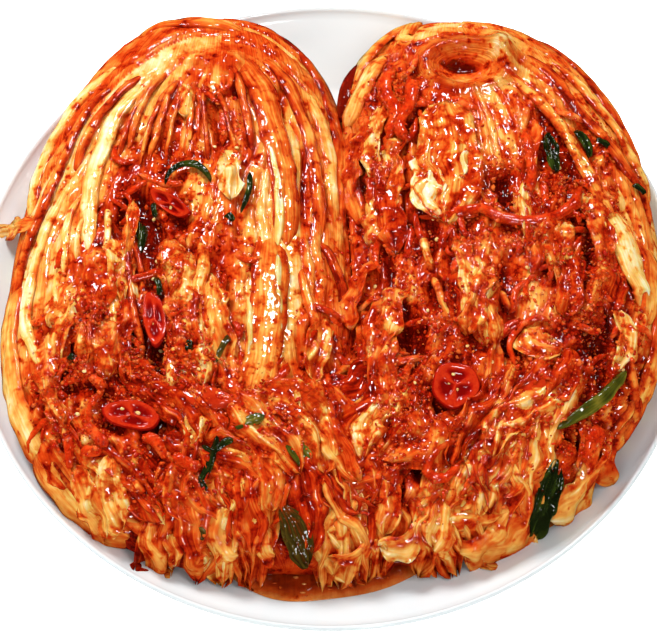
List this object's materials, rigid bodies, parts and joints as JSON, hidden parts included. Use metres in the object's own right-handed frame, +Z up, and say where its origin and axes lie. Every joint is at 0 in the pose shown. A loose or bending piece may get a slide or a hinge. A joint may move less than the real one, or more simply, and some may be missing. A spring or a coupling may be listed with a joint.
{
  "type": "plate of kimchi",
  "caption": "Halved napa cabbage kimchi, cut sides up and pressed together on a round white serving plate, with red paste, radish shreds, chilli slices, greens and a little juice.",
  "frame": {"origin": "middle of the plate's foot, on the table", "axes": "+Z up, +Y towards the stem ends of the cabbage halves, +X to the right when the leaf tips face the viewer"},
  "size_m": [0.32, 0.32, 0.0641],
  "materials": {
    "porcelain": "glossy white glazed porcelain",
    "cabbage": "wet fermented cabbage, cream to orange ribs, stained red by the paste",
    "paste": "wet granular red chilli paste",
    "radish": "wet radish shreds, stained orange red",
    "chilli": "glossy wet red chilli skin and flesh",
    "seeds": "smooth wet chilli seeds",
    "greens": "wet dark green mustard leaf and chive",
    "juice": "clear orange red juice"
  },
  "bodies": {
    "root": {"plate": "porcelain", "kimchi_half_left": "cabbage", "kimchi_half_right": "cabbage", "chilli_slice_1": "chilli", "chilli_slice_2": "chilli", "chilli_slice_3": "chilli", "chilli_slice_4": "chilli", "green_strip_1": "greens", "green_strip_2": "greens", "green_strip_3": "greens", "green_strip_4": "greens", "green_strip_5": "greens", "green_strip_6": "greens", "green_strip_7": "greens", "green_strip_8": "greens", "green_leaf_1": "greens", "green_leaf_2": "greens", "juice": "juice"}
  },
  "joints": []
}
